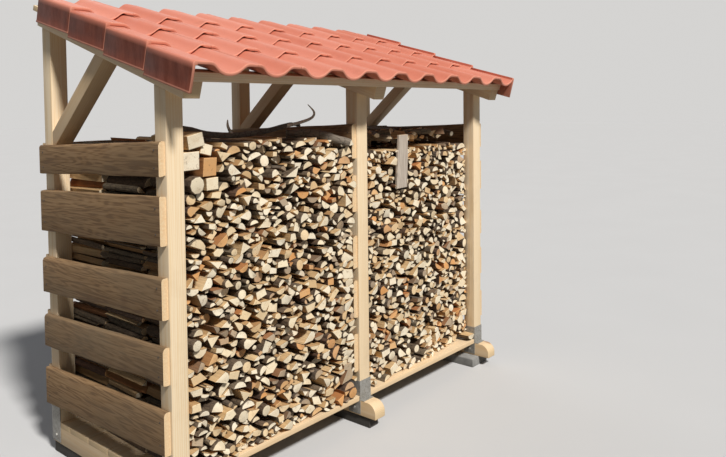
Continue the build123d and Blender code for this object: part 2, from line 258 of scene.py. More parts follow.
def rough_board(name, axis, base=(146, 113, 74), dark=(118, 88, 56), grey=(122, 107, 84)):
    """Sawn board, tan to weathered grey, with saw marks across the grain."""
    g = surface(name, 0.84)
    g.turn = turn_to(axis)
    inputs = {0: g.add("TexCoord").outputs["Object"], 1: g.attribute("board_shift", "Vector")}
    g.place = g.add("VectorMath", inputs, operation="ADD").outputs["Vector"]
    swirl = g.noise(0.14, 6, 2, 0.5)
    contours = g.math("SINE", g.math("MULTIPLY", swirl, 150.0))
    fine = g.waves(0.07, 42, 16, 2)
    grain = g.math("ADD", fine, g.math("MULTIPLY", contours, 0.22))
    streaks = g.noise(0.03, 120, 5, 0.65)
    saw = g.waves((0.15, 0.15, 1), 95, 1.8, 2, "Z")
    cloud = g.noise(0.35, 7, 4, 0.6)
    pale = tuple(min(255, c + 20) for c in base)
    g.colour = g.ramp(grain, (0.0, dark), (0.3, base), (1.0, pale))
    worn = g.math("ADD", g.remap(cloud, 0.4, 0.75, 0.0, 0.45), g.attribute("tint"))
    g.cover(worn, grey)
    g.blend((110, 80, 54), streaks, 0.42, 0.78, 0.5)
    g.cover(g.math("MULTIPLY", saw, 0.12), (96, 74, 54))
    knots = g.cells(0.5, 5.0)
    g.blend((84, 54, 34), knots, 0.10, 0.04, 0.75)
    fibre = g.noise(0.2, 160, 3, 0.6)
    ends = g.ramp(fibre, (0.3, (228, 192, 146)), (0.7, (238, 212, 172)))
    g.cover(g.facing(axis), ends)
    height = g.math("ADD", g.math("MULTIPLY", saw, 0.5), streaks)
    return g.finish(g.remap(streaks, 0.3, 0.8, 0.72, 0.92), height, 0.55, 0.0015)


def galvanised(name, base=(160, 158, 152), dull=(120, 116, 108), metallic=0.35):
    """Zinc-coated steel with dull patches and a little rust."""
    g = surface(name, 0.45, metallic)
    fine = g.noise(1, 60, 4, 0.6)
    spangle = g.cells(1, 110)
    g.colour = g.ramp(spangle, (0.0, dull), (0.5, base), (1.0, base))
    g.blend(dull, fine, 0.4, 0.75, 0.6)
    rust = g.noise(1, 22, 5, 0.7)
    g.blend((126, 88, 60), rust, 0.64, 0.82, 0.45)
    return g.finish(g.remap(fine, 0.3, 0.7, 0.38, 0.64), fine, 0.12, 0.0006)


def concrete(name, dark, middle, pale):
    """Cast stone with sand grains and pits."""
    g = surface(name, 0.92)
    sand = g.noise(1, 420, 3, 0.7)
    cloud = g.noise(1, 16, 5, 0.6)
    pits = g.cells(1, 150)
    g.colour = g.ramp(cloud, (0.25, dark), (0.55, middle), (0.85, pale))
    g.blend(tuple(c * 0.7 for c in middle), sand, 0.3, 0.75, 0.45)
    g.blend(tuple(c * 0.5 for c in middle), pits, 0.16, 0.0, 0.5)
    height = g.math("ADD", sand, g.remap(pits, 0.0, 0.2, -0.8, 0.0))
    return g.finish(None, height, 0.5, 0.0015)


def clay(name):
    """Fired clay: each tile a little different, speckled, with painted shade darkening the verge
    skirts.
    """
    g = surface(name, 0.6, specular=0.3)
    cloud = g.noise(1, 11, 5, 0.6)
    speck = g.noise(1, 330, 3, 0.7)
    tones = ((0.0, (202, 116, 92)), (0.5, (210, 127, 104)), (1.0, (218, 138, 116)))
    g.colour = g.ramp(g.attribute("tint"), *tones)
    g.blend((224, 148, 124), cloud, 0.4, 0.75, 0.35)
    g.blend((172, 84, 62), speck, 0.5, 0.8, 0.4)
    grime = g.noise((1, 0.35, 0.35), 26, 5, 0.65)
    g.blend((138, 74, 56), grime, 0.58, 0.82, 0.35)
    # Painted shade: the skirts darken toward (94, 36, 14) as they hang down, a little patchily
    skirt_shade_patches = g.noise(0.3, 34, 5, 0.65)
    skirt_painted_shade = g.math("MULTIPLY", g.attribute("skirt"), g.remap(skirt_shade_patches, 0.3, 0.7, 0.78, 1.0))
    g.cover(skirt_painted_shade, (94, 36, 14))
    # Painted highlight: the tails and rolled edges, marked by edge, are paler
    g.cover(g.math("MULTIPLY", g.attribute("edge"), 0.45), (234, 164, 138))
    rough = g.remap(cloud, 0.3, 0.8, 0.46, 0.72)
    return g.finish(rough, g.math("ADD", speck, cloud), 0.25, 0.0012)


def log_end(name):
    """Sawn end of a log: faint rings round its pith, its own tint, a dark rim of bark."""
    g = surface(name, 0.84)
    g.place = g.attribute("pith", "Vector")
    rings = g.waves(0, 60, 1.2, 2, "Z", "RINGS")
    fibre = g.noise(1, 240, 4, 0.7)
    cloud = g.noise(1, 30, 4, 0.6)
    g.colour = g.ramp(
        g.attribute("tint"),
        (0.0, (252, 242, 218)), (0.42, (249, 234, 202)), (0.66, (239, 215, 174)),
        (0.80, (222, 188, 140)), (0.87, (228, 164, 98)), (0.93, (196, 178, 152)),
        (1.0, (140, 124, 106)),
    )
    g.cover(g.math("MULTIPLY", rings, 0.16), (190, 146, 98))
    g.blend((210, 178, 134), cloud, 0.45, 0.75, 0.42)
    g.blend((150, 116, 82), fibre, 0.55, 0.8, 0.3)
    stain = g.noise(1, 75, 2)
    g.blend((118, 92, 68), stain, 0.6, 0.75, 0.45)
    g.blend((78, 58, 42), g.attribute("rim"), 0.1, 0.45, 0.9)
    height = g.math("ADD", fibre, g.math("MULTIPLY", rings, 0.3))
    return g.finish(None, height, 0.5, 0.0012)


def log_split(name):
    """Split face of a log: long fibres in its own tint."""
    g = surface(name, 0.86)
    g.place = g.attribute("pith", "Vector")
    fibre = g.noise(0.05, 170, 5, 0.65)
    ridges = g.noise(0.12, 60, 3, 0.6)
    g.colour = g.ramp(
        g.attribute("tint"),
        (0.0, (232, 202, 154)), (0.5, (212, 174, 122)), (0.8, (182, 140, 92)),
        (0.88, (184, 116, 62)), (1.0, (118, 100, 80)),
    )
    g.blend((150, 106, 66), fibre, 0.42, 0.78, 0.55)
    g.blend((116, 82, 52), ridges, 0.5, 0.8, 0.4)
    return g.finish(None, g.math("ADD", fibre, ridges), 0.8, 0.0025)


def bark(name, *stops):
    """Bark: its own tint, ridged along the log, with dark furrows between plates."""
    g = surface(name, 0.93)
    g.place = g.attribute("pith", "Vector")
    ridges = g.noise(0.3, 70, 4, 0.65)
    plates = g.cells(0.45, 60, "DISTANCE_TO_EDGE")
    g.colour = g.ramp(g.attribute("tint"), *stops)
    g.blend((56, 42, 32), ridges, 0.45, 0.75, 0.6)
    g.blend((42, 32, 26), plates, 0.08, 0.0, 0.6)
    return g.finish(None, g.math("ADD", ridges, plates), 0.8, 0.003)


ACROSS = (1, 0, 0)
LEVEL = (0, 1, 0)
UPRIGHT = (0, 0, 1)
UP_ROOF = (0, cos(SLOPE), sin(SLOPE))
UP_BRACE = (0, -cos(BRACE_ANGLE), sin(BRACE_ANGLE))
timber_upright = planed_timber("timber_upright", UPRIGHT)
timber_level = planed_timber("timber_level", LEVEL, 0.4)
timber_rafter = planed_timber("timber_sloping", UP_ROOF)
timber_brace = planed_timber("timber_brace", UP_BRACE, 0.5)
timber_across = planed_timber("timber_across", ACROSS)
deck_wood = planed_timber("deck_wood", ACROSS, 0.35)
board_side = rough_board("board_side", LEVEL)
board_back = rough_board("board_back", ACROSS)
slat_wood = rough_board("slat_weathered", UPRIGHT, (206, 192, 174), (160, 146, 130), (196, 186, 174))
steel = galvanised("galvanised_sheet")
nail_steel = galvanised("nail_steel", (92, 84, 78), (64, 56, 50), 0.4)
stone = concrete("cast_stone", (128, 127, 124), (158, 157, 153), (184, 182, 176))
# A darkened copy of the cast stone, as painted shade: it stands for the shadow under the left and
# middle bearers
painted_shade_stone = concrete("painted_shade_stone", (62, 58, 54), (82, 78, 73), (104, 99, 92))
tile_clay = clay("fired_clay")
wood_end = log_end("log_end")
wood_split = log_split("log_split")
wood_bark = bark(
    "log_bark",
    (0.0, (124, 108, 88)), (0.35, (98, 78, 58)), (0.65, (134, 120, 98)),
    (0.85, (90, 62, 44)), (1.0, (110, 98, 84)),
)
dark_bark = bark("branch_bark", (0.0, (92, 86, 80)), (1.0, (176, 162, 142)))
horn = bark("bare_branch", (0.0, (226, 216, 198)), (1.0, (250, 242, 226)))
LOG_FINISH = [wood_end, wood_split, wood_bark]


# Meshes
def add_object(name, data):
    """An object of the scene that holds a mesh, a lamp or a camera."""
    obj = bpy.data.objects.new(name, data)
    bpy.context.scene.collection.objects.link(obj)
    return obj


def give_object(name, mesh, materials, replaced=(), smooth=0.7):
    """Put a mesh in the scene as a piece that rides with the part."""
    for mat in materials:
        mesh.materials.append(mat)
    obj = add_object(name, mesh)
    mesh.shade_smooth()
    mesh.set_sharp_from_angle(angle=smooth)
    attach(obj, "root")
    if replaced:
        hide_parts(*replaced)


class Builder:
    """Collects vertices, faces and their marks, and makes one mesh of them."""

    def __init__(self):
        self.verts = []
        self.faces = []
        self.slots = []
        self.marks = {}

    def add(self, verts, faces, slot=0, **marks):
        """Add a shape. A mark is one value for the shape, or a list of one per vertex."""
        start = len(self.verts)
        self.verts += [tuple(v) for v in verts]
        self.faces += [tuple(i + start for i in f) for f in faces]
        self.slots += slot if isinstance(slot, list) else [slot] * len(faces)
        for key, value in marks.items():
            values = value if isinstance(value, list) else [value] * len(verts)
            self.pad(key, values[0], start)
            self.marks[key] += values

    def pad(self, key, sample, count):
        """Fill a mark's row up to a count with blanks of the sample's kind."""
        row = self.marks.setdefault(key, [])
        row += [(0.0, 0.0, 0.0) if isinstance(sample, tuple) else 0.0] * (count - len(row))

    def mesh(self, name):
        mesh = bpy.data.meshes.new(name)
        mesh.from_pydata(self.verts, [], self.faces)
        mesh.polygons.foreach_set("material_index", self.slots)
        for key, row in self.marks.items():
            self.pad(key, row[0], len(self.verts))
            if isinstance(row[0], tuple):
                flat = [c for v in row for c in v]
                mesh.attributes.new(key, "FLOAT_VECTOR", "POINT").data.foreach_set("vector", flat)
            else:
                mesh.attributes.new(key, "FLOAT", "POINT").data.foreach_set("value", row)
        mesh.validate()
        bm = bmesh.new()
        bm.from_mesh(mesh)
        bmesh.ops.recalc_face_normals(bm, faces=bm.faces)
        bm.to_mesh(mesh)
        bm.free()
        return mesh

    def loft(self, rings, slot=0, **marks):
        """Add a closed loft through rings of points."""
        self.add(flatten(rings), tube(rings), slot, **marks)

    def give(self, name, materials, replaced=(), smooth=0.7):
        """Put what was added in the scene as one piece."""
        give_object(name, self.mesh(name), materials, replaced, smooth)


def tube(rings):
    """Faces of a closed loft through rings of equal length, in order."""
    count = len(rings[0])
    faces = []
    for k in range(len(rings) - 1):
        a, b = k * count, (k + 1) * count
        for i in range(count):
            j = (i + 1) % count
            faces.append((a + i, a + j, b + j, b + i))
    last = (len(rings) - 1) * count
    faces.append(tuple(reversed(range(count))))
    faces.append(tuple(last + i for i in range(count)))
    return faces


def flatten(rings):
    return [v for ring in rings for v in ring]


def node_shape(node):
    """A node's own shape with the seams of its facets closed."""
    bm = bmesh.new()
    bm.from_mesh(nodes[node].data)
    bmesh.ops.remove_doubles(bm, verts=bm.verts, dist=1e-5)
    return bm


def solid_boxes(node):
    """Lowest and highest corners of each solid of a node, from the bottom up."""
    bm = node_shape(node)
    left = set(bm.verts)
    boxes = []
    while left:
        front = [left.pop()]
        found = []
        while front:
            vert = front.pop()
            found.append(tuple(vert.co))
            for edge in vert.link_edges:
                other = edge.other_vert(vert)
                if other in left:
                    left.remove(other)
                    front.append(other)
        boxes.append((np.min(found, axis=0).tolist(), np.max(found, axis=0).tolist()))
    bm.free()
    return sorted(boxes, key=lambda box: box[0][2])


FLAT_ANGLE = radians(1)
SHARP_ANGLE = radians(28)


def softened(node, width, material):
    """A node's own shape with its edges rounded, standing for the node."""
    bm = node_shape(node)
    bmesh.ops.dissolve_limit(bm, angle_limit=FLAT_ANGLE, verts=bm.verts, edges=bm.edges)
    sharp = [e for e in bm.edges if e.is_manifold and e.calc_face_angle(0.0) > SHARP_ANGLE]
    bmesh.ops.bevel(
        bm, geom=sharp, offset=width, segments=2, profile=0.6, affect="EDGES",
        clamp_overlap=True,
    )
    mesh = bpy.data.meshes.new(node + "_worked")
    bm.to_mesh(mesh)
    bm.free()
    give_object(node + "_worked", mesh, [material], (node,), smooth=0.6)


for side in SIDES:
    for place in ("front", "back"):
        softened(f"{place}_post_{side}", 0.0022, timber_upright)
        softened(f"{place}_shoe_{side}", 0.0006, steel)
    softened(f"bearer_{side}", 0.0022, timber_level)
    softened(f"rafter_{side}", 0.0018, timber_rafter)
    softened(f"brace_{side}", 0.0018, timber_brace)
    # The left and middle kerbs take the darkened stone, painted shade for the shadow under their
    # bearers
    softened(f"kerb_{side}", 0.0028, stone if side == "right" else painted_shade_stone)
softened("eave_batten", 0.0012, timber_across)
softened("tile_battens", 0.0012, timber_across)
softened("deck_boards", 0.0012, deck_wood)


# Boards
def wander(seed, place, size):
    """Smooth, repeatable wandering value between -size and size."""
    return size * noise.noise(Vector((place, seed * 7.31, seed * 1.7)))


PLANK_STATIONS = 44
PLANK_EDGE = 0.0035


def plank(build, start, length, axis, low, high, fall, near, far, seed, tint, waney, wane=0.0035):
    """One rough board. low and high are its edges' heights at its start, near and far its
    two faces across, fall how far it drops over its length, waney how far bark has eaten
    into its lower edge, and wane how far its upper outer edge slopes as the log did."""
    out = 1 if far > near else -1
    rings = []
    for k in range(PLANK_STATIONS + 1):
        place = length * k / PLANK_STATIONS
        drop = fall * k / PLANK_STATIONS
        bow = wander(seed, place * 2.2, 0.002)
        bite = waney * max(0.0, noise.noise(Vector((place * 3.1, seed * 3.3, 4.0))) + 0.1)
        under_near = low - drop + wander(seed + 1, place * 5, 0.004) + bite
        under_far = low - drop + wander(seed + 2, place * 5, 0.003)
        over_near = high - drop + wander(seed + 3, place * 4.5, 0.0035)
        over_far = high - drop + wander(seed + 4, place * 4.5, 0.003)
        r = PLANK_EDGE + 0.001 * noise.noise(Vector((place * 9, seed, 0)))
        a, b = near + bow, far + bow
        slope = wane * (1 + 0.9 * noise.noise(Vector((place * 4.3, seed * 2.1, 8.0))))
        mid_low = (under_near + under_far) / 2
        ring = [
            (a, under_near + r),
            (a + out * r * 0.3, under_near + r * 0.3),
            (a + out * r, under_near),
            ((a + b) / 2, mid_low - 0.0008),
            (b - out * r, under_far),
            (b - out * r * 0.3, under_far + r * 0.3),
            (b, under_far + r),
            (b, (under_far + over_far) / 2),
            (b, over_far - r),
            (b - out * r * 0.3, over_far - r * 0.3),
            (b - out * r, over_far),
            (a + out * slope, over_near),
            (a + out * slope * 0.35, over_near - slope * 0.4),
            (a, over_near - slope * 1.25),
            (a, (under_near + over_near) / 2),
        ]
        at = start + place
        rings.append([(x, at, z) if axis == "y" else (at, x, z) for x, z in ring])
    shift = (seed * 0.37 % 3.0, seed * 0.73 % 3.0, seed * 0.51 % 3.0)
    build.loft(rings, tint=tint, board_shift=shift)


NAIL_RADIUS = 0.0032
NAIL_PROUD = 0.0012
NAIL_SIDES = 10


def nail(build, x, y, z, toward):
    """Round nail head, slightly domed, on a face that looks along toward."""
    toward = Vector(toward)
    side = toward.orthogonal().normalized()
    up = toward.cross(side)
    rings = []
    for r, h in ((1.0, -0.4), (1.0, 0.35), (0.8, 0.8), (0.35, 1.0)):
        ring = []
        for k in range(NAIL_SIDES):
            a = 2 * pi * k / NAIL_SIDES
            across = (side * cos(a) + up * sin(a)) * NAIL_RADIUS * r
            ring.append(tuple(Vector((x, y, z)) + across + toward * NAIL_PROUD * h))
        rings.append(ring)
    build.loft(rings, 1)


BOARD_FALL = 0.034
NAIL_SHARES = (0.24, 0.76)
NAIL_FROM_FRONT = 0.025
NAIL_FROM_BACK = 0.030

# Each board of a side, from the bottom up: how grey, how bark-eaten below, how sloped above
BOARD_TINTS = (0.10, 0.40, 0.15, 0.05, 0.0)
BOARD_WANEY = (0.004, 0.022, 0.012, 0.006, 0.014)
BOARD_WANE = (0.008, 0.009, 0.010, 0.004, 0.011)
SIDE_SEED = 11
SIDE_SEED_STEP = 17
BACK_SEED = 90
for index, side in enumerate(SIDES):
    build = Builder()
    out = 1 if side == "right" else -1
    for k, (low, high) in enumerate(solid_boxes(f"side_boards_{side}")):
        outer, inner = (high[0], low[0]) if out > 0 else (low[0], high[0])
        plank(
            build, low[1], high[1] - low[1], "y", low[2] + BOARD_FALL, high[2], BOARD_FALL,
            outer, inner, SIDE_SEED + index * SIDE_SEED_STEP + k * 3, BOARD_TINTS[k],
            BOARD_WANEY[k], BOARD_WANE[k],
        )
        for y in (low[1] + NAIL_FROM_FRONT, high[1] - NAIL_FROM_BACK):
            drop = BOARD_FALL * (y - low[1]) / (high[1] - low[1])
            for share in NAIL_SHARES:
                z = low[2] + BOARD_FALL + (high[2] - low[2] - BOARD_FALL) * share - drop
                nail(build, outer + out * NAIL_PROUD, y, z, (out, 0, 0))
    materials = [board_side, nail_steel]
    build.give(f"side_planks_{side}", materials, (f"side_boards_{side}",))

build = Builder()
for k, (low, high) in enumerate(solid_boxes("back_boards")):
    plank(
        build, low[0], high[0] - low[0], "x", low[2], high[2], 0.0,
        high[1], low[1], BACK_SEED + k * 5, BOARD_TINTS[k], BOARD_WANEY[k] / 2,
    )
    for left, right in zip(LEFTS, RIGHTS):
        for share in NAIL_SHARES:
            z = low[2] + (high[2] - low[2]) * share
            nail(build, (left + right) / 2, high[1] + NAIL_PROUD, z, (0, 1, 0))
build.give("back_planks", [board_back, nail_steel], ("back_boards",))


# Roof
def tile_place(course):
    """Function that puts a tile's own (x, along, height) into the part's frame."""
    along_roof = course * TILE_GAUGE
    y0 = FACE_Y - EAVE_REACH + along_roof * cos(SLOPE)
    z0 = EAVE_Z + along_roof * sin(SLOPE)
    c, s = cos(TILE_SLOPE), sin(TILE_SLOPE)

    def place(x, along, height):
        return (x, y0 + along * c - height * s, z0 + along * s + height * c)

    return place


def pan_height(x):
    """Underside of the tile at x from the middle of its pan."""
    x = abs(x)
    foot = PAN_RADIUS * sin(FLANK)
    top = foot + SHOULDER_RADIUS * sin(FLANK)
    if x <= foot:
        return PAN_RADIUS - sqrt(PAN_RADIUS**2 - x**2)
    if x <= top:
        return TILE_DROP - SHOULDER_RADIUS + sqrt(SHOULDER_RADIUS**2 - (top - x) ** 2)
    return TILE_DROP


def pan_stations(start, end):
    """Places across a pan at which its section is drawn."""
    inner = [x / 1000 for x in (-94, -82, -76, -70, -63, -56.5, -48, -39, -29, -19, -10, 0)]
    inner += [-x for x in reversed(inner[:-1])]
    return [start] + [x for x in inner if start + 0.004 < x < end - 0.004] + [end]


SIDE_JOINT = 0.011
TOP_ROOM = 0.0014  # the upper face lies a little under the solid's

# How much a tile is thinned beside a joint, and over how wide a strip
LEFT_THINNING, LEFT_STRIP = 0.0022, 0.012
RIGHT_THINNING, RIGHT_STRIP = 0.0018, 0.0022

# Each upper tile's tail stands off its neighbour on one flank
FLANK_GAP = 0.0070
FLANK_GAP_X = 0.058
FLANK_GAP_WIDE = 0.030
FLANK_GAP_LONG = 0.06
TILE_GAP = 0.0012
# How far from its tail a tile gets the painted highlight
TAIL_END = 0.004

# Sections along a tile: how far from its tail, and how far its faces draw in there
TAIL_CUTS = ((0.0, 0.0036), (0.0007, 0.0015), (0.0026, 0.0003), (0.006, 0.0), (0.03, 0.0))
BODY_CUTS = ((0.09, 0.0), (0.16, 0.0), (0.23, 0.0), (0.30, 0.0), (TILE_LENGTH, 0.0))


def tile_rings(course, centre, start, end, rng, laps_left, laps_right):
    """Rings of points along one tile, with a rounded tail and thinned side joints, and a mark for
    each point, 1 at the tail's edge, where the clay paints a highlight."""
    place = tile_place(course)
    xs = pan_stations(start, end)
    sway = rng.uniform(-0.0008, 0.0008)
    twist = rng.uniform(-0.0012, 0.0012)
    rings = []
    edge = []
    for along, inset in TAIL_CUTS + BODY_CUTS:
        upper = []
        lower = []
        for x in xs:
            base = pan_height(x)
            top = base + TILE_THICK - TOP_ROOM
            if laps_left:
                top -= LEFT_THINNING * max(0.0, 1 - (x - start) / LEFT_STRIP)
            if laps_right:
                top -= RIGHT_THINNING * max(0.0, 1 - (end - x) / RIGHT_STRIP)
            wave = 0.0005 * noise.noise(Vector(((centre + x) * 14, along * 9, course * 3.3)))
            lift = twist * (x / 0.1) * (along / TILE_LENGTH) + wave
            upper.append(place(centre + x + sway, along, top - inset + lift))
            under = base + inset * 0.35 + min(0.0, lift)
            if course > 0:
                rise = max(0.0, 1 - abs(x - FLANK_GAP_X) / FLANK_GAP_WIDE)
                under += FLANK_GAP * min(1.0, 2 * rise) * max(0.0, 1 - along / FLANK_GAP_LONG)
            lower.append(place(centre + x + sway, along + inset * 0.12, under))
        rings.append(upper + lower[::-1])
        edge += [1.0 if along < TAIL_END else 0.0] * (2 * len(xs))
    return rings, edge


def add_tile(build, rings, edge, tint):
    """Skin a tile's rings, its two ends filled strip by strip as its section is bent."""
    count = len(rings[0])
    faces = tube(rings)[:-2]
    for first in (0, (len(rings) - 1) * count):
        last = first + count - 1
        faces += [(first + i, first + i + 1, last - 1 - i, last - i) for i in range(count // 2 - 1)]
    build.add(flatten(rings), faces, tint=tint, edge=edge)


rng = random.Random(41)
for course in range(COURSES):
    build = Builder()
    for column in range(1, COLUMNS - 1):
        centre = FIRST_PAN + column * TILE_PITCH
        start = -TILE_PITCH / 2 + SIDE_JOINT + TILE_GAP
        end = TILE_PITCH / 2 + SIDE_JOINT
        rings, edge = tile_rings(course, centre, start, end, rng, True, True)
        add_tile(build, rings, edge, rng.random())
    replaced = (f"pantile_course_{course + 1}",)
    build.give(f"pantiles_{course + 1}", [tile_clay], replaced)


SKIRT_SHOULDER = 0.011
SKIRT_BULGE = 0.0009
# How far down a skirt the painted shade takes to come in full
SKIRT_FADE = 0.012
SKIRT_LAP = 0.006
SHOULDER_STEPS = 6


def skirt_section(outer, inner, out):
    """Section of a verge tile's hanging skirt, out being +1 where it looks to +X: a rolled
    lower edge, a plain face and a rounded shoulder."""
    face = outer - out * 0.0018
    top = TILE_DROP + TILE_THICK - TOP_ROOM
    points = [
        (inner, -SKIRT_DROP + 0.002),
        (face - out * 0.004, -SKIRT_DROP),
        (outer - out * 0.0008, -SKIRT_DROP + 0.0012),
        (outer, -SKIRT_DROP + 0.004),
        (outer - out * 0.0006, -SKIRT_DROP + 0.0075),
        (face, -SKIRT_DROP + 0.0095),
        (face, -SKIRT_DROP + 0.04),
        (face, top - SKIRT_SHOULDER - 0.016),
    ]
    for k in range(SHOULDER_STEPS + 1):
        a = pi / 2 * k / SHOULDER_STEPS
        across = SKIRT_SHOULDER * (1 - cos(a))
        points.append((face - out * across, top - SKIRT_SHOULDER * (1 - sin(a))))
    return points + [
        (inner - out * 0.004, top),
        (inner - out * 0.0075, top),
        (inner - out * 0.0075, TILE_DROP),
        (inner, TILE_DROP),
    ]


SKIRT_CUTS = (
    (0.0, 0.0022), (0.0008, 0.0007), (0.0025, 0.0), (0.02, 0.0), (0.13, 0.0),
    (SKIRT_LENGTH - 0.0015, 0.0), (SKIRT_LENGTH, 0.0012),
)
# How high up a skirt the painted highlight of the rolled edge reaches
ROLLED_EDGE = 0.009
SKIRT_END = 0.002


def add_skirt(build, course, section, out, tint):
    """The hanging skirt of one verge tile."""
    place = tile_place(course)
    mid_x = sum(x for x, _ in section) / len(section)
    rings = []
    edge = []
    skirt = []
    for along, pinch in SKIRT_CUTS:
        ring = []
        for x, h in section:
            bulge = SKIRT_BULGE * noise.noise(Vector((along * 11, h * 20, course * 5.1 + out)))
            x += (pinch if x < mid_x else -pinch) - out * abs(bulge)
            h += pinch if h < 0 else -pinch
            ring.append(place(x, along, h))
            # Mark of the painted highlight on the rolled lower edge and the tail
            edge.append(1.0 if h < -SKIRT_DROP + ROLLED_EDGE or along < SKIRT_END else 0.0)
            # Mark of the painted shade: 0 at the tile's top, 1 a fade's length down the skirt
            skirt.append(min(1.0, max(0.0, (TILE_DROP - h) / SKIRT_FADE)))
        rings.append(ring)
    build.loft(rings, tint=tint, edge=edge, skirt=skirt)


for side, out in (("left", -1), ("right", 1)):
    build = Builder()
    outer = (LEFTS[0] if out < 0 else RIGHTS[2]) + out * VERGE_REACH
    inner = outer - out * SKIRT_THICK
    centre = FIRST_PAN + (0 if out < 0 else COLUMNS - 1) * TILE_PITCH
    if out < 0:
        start, end = inner + SKIRT_LAP - centre, TILE_PITCH / 2 + SIDE_JOINT
    else:
        start, end = -TILE_PITCH / 2 + SIDE_JOINT + TILE_GAP, inner - SKIRT_LAP - centre
    section = skirt_section(outer, inner, out)
    for course in range(COURSES):
        tint = rng.random()
        rings, edge = tile_rings(course, centre, start, end, rng, out > 0, out < 0)
        add_tile(build, rings, edge, tint)
        add_skirt(build, course, section, out, tint)
    build.give(f"verge_row_{side}", [tile_clay], (f"verge_tiles_{side}",))


# Firewood: logs lie with their wide side level, so a stack is packed in a squashed space
SQUASH = 1.5

# How many of the highest logs are looked at for seats between two logs and for clashes,
# and how many of the newest seats against a wall
TOP_LOGS = 70
NEAR_LOGS = 240
WALL_LOGS = 40

SMALL_LOG = 0.0090
LARGE_LOG = 0.0235
SIZE_BIAS = 1.7  # over 1, so that small logs outnumber large ones


def crossings(px, pz, reach):
    """Seats that touch two discs at once, from the discs' centres and reaches."""
    gx = px[None, :] - px[:, None]
    gz = pz[None, :] - pz[:, None]
    gap = np.hypot(gx, gz)
    near = (gap > 1e-6) & (gap < reach[None, :] + reach[:, None])
    i, j = np.nonzero(np.triu(near, 1))
    d = gap[i, j]
    along = (reach[i] ** 2 - reach[j] ** 2 + d**2) / (2 * d)
    h = np.sqrt(np.maximum(reach[i] ** 2 - along**2, 0))
    ux, uz = gx[i, j] / d, gz[i, j] / d
    seats = []
    for sign in (-1, 1):
        seats += list(zip(px[i] + along * ux - sign * h * uz, pz[i] + along * uz + sign * h * ux))
    return seats


def lowest_seat(placed, r, width, profile):
    """The seat for a disc of radius r that lies lowest under the heap's outline, or None
    where no seat is left under it."""
    px, pz, pr = (np.array(v) for v in zip(*placed)) if placed else (np.zeros(0),) * 3
    reach = pr + r
    seats = [(r, r), (width - r, r)]
    on_floor = reach**2 - (pz - r) ** 2
    ok = on_floor > 0
    for sign in (-1, 1):
        seats += [(x, r) for x in (px[ok] + sign * np.sqrt(on_floor[ok]))]
    for wall in (r, width - r):
        rise = reach**2 - (px - wall) ** 2
        ok = rise > 0
        seats += [(wall, z) for z in (pz[ok] + np.sqrt(rise[ok]))][-WALL_LOGS:]
    top = np.argsort(pz)[-TOP_LOGS:]
    if len(top) > 1:
        seats += crossings(px[top], pz[top], reach[top])
    spots = np.array(seats)
    inside = (spots[:, 0] >= r - 1e-6) & (spots[:, 0] <= width - r + 1e-6)
    spots = spots[inside & (spots[:, 1] >= r - 1e-6)]
    if placed and len(spots):
        close = np.argsort(pz)[-NEAR_LOGS:]
        if len(placed) > NEAR_LOGS:
            spots = spots[spots[:, 1] > pz[close[0]] + 2 * LARGE_LOG]
        far = np.hypot(spots[:, 0, None] - px[close], spots[:, 1, None] - pz[close])
        spots = spots[(far >= reach[close] - 1e-5).all(1)]
    if len(spots) == 0:
        return None
    rank = (spots[:, 1] + r) / np.interp(spots[:, 0], *profile)
    best = int(np.argmin(rank))
    return tuple(spots[best].tolist()) if rank[best] <= 1.0 else None


def stack_seats(rng, width, heights):
    """Seats of logs between two walls: discs of mixed size in a squashed space, each at the
    lowest seat left, as logs settle. Gives each seat's middle and its half height."""
    profile = (np.linspace(0, width / SQUASH, len(heights)), np.array(heights))
    placed = []
    while True:
        for r in (SMALL_LOG + (LARGE_LOG - SMALL_LOG) * rng.random() ** SIZE_BIAS, SMALL_LOG):
            seat = lowest_seat(placed, r, width / SQUASH, profile)
            if seat:
                break
        if not seat:
            return [(x * SQUASH, z, r) for x, z, r in placed]
        placed.append((*seat, r))


def round_section(rng, a, b):
    r = b * rng.uniform(0.95, 1.12)
    shift = rng.uniform(-0.5, 0.5) * (a - b)
    points = []
    for k in range(10):
        turn = 2 * pi * k / 10
        s = r * rng.uniform(0.95, 1.03)
        points.append((shift + s * cos(turn), s * sin(turn)))
    return points, [True] * 10, (shift, 0.0)


def half_section(rng, a, b):
    half = a * rng.uniform(0.78, 1.06)
    thick = b * rng.uniform(1.0, 1.8)
    foot = -thick / 2
    points = []
    for k in range(7):
        turn = pi * (0.04 + 0.92 * k / 6)
        s = rng.uniform(0.93, 1.03)
        points.append((half * cos(turn), foot + thick * sin(turn) * s))
    return points, [True] * 6 + [False], (0.0, foot)


def quarter_section(rng, a, b):
    tip = (-a * rng.uniform(0.8, 1.05), b * rng.uniform(-0.7, 0.7))
    points = [tip]
    for k in range(5):
        turn = radians(-64 + 128 * k / 4)
        s = rng.uniform(0.94, 1.04)
        points.append((a * (0.1 + 0.88 * cos(turn)) * s, b * 1.08 * sin(turn) * s))
    return points, [False] + [True] * 4 + [False], tip


def split_section(rng, a, b):
    corners = rng.choice((3, 3, 4, 4, 4, 5, 6))
    start = pi / (4 if corners == 4 else 2) + rng.uniform(-0.25, 0.25)
    points = []
    for k in range(corners):
        turn = start + 2 * pi * (k + rng.uniform(-0.2, 0.2)) / corners
        s = rng.uniform(0.82, 1.24)
        points.append((a * cos(turn) * s, b * sin(turn) * s))
    is_bark = [rng.random() < 0.24 for _ in points]
    return points, is_bark, (rng.uniform(-3, 3) * a, rng.choice((-3, 3)) * b)


SECTIONS = ((0.09, round_section), (0.50, half_section), (0.70, quarter_section))


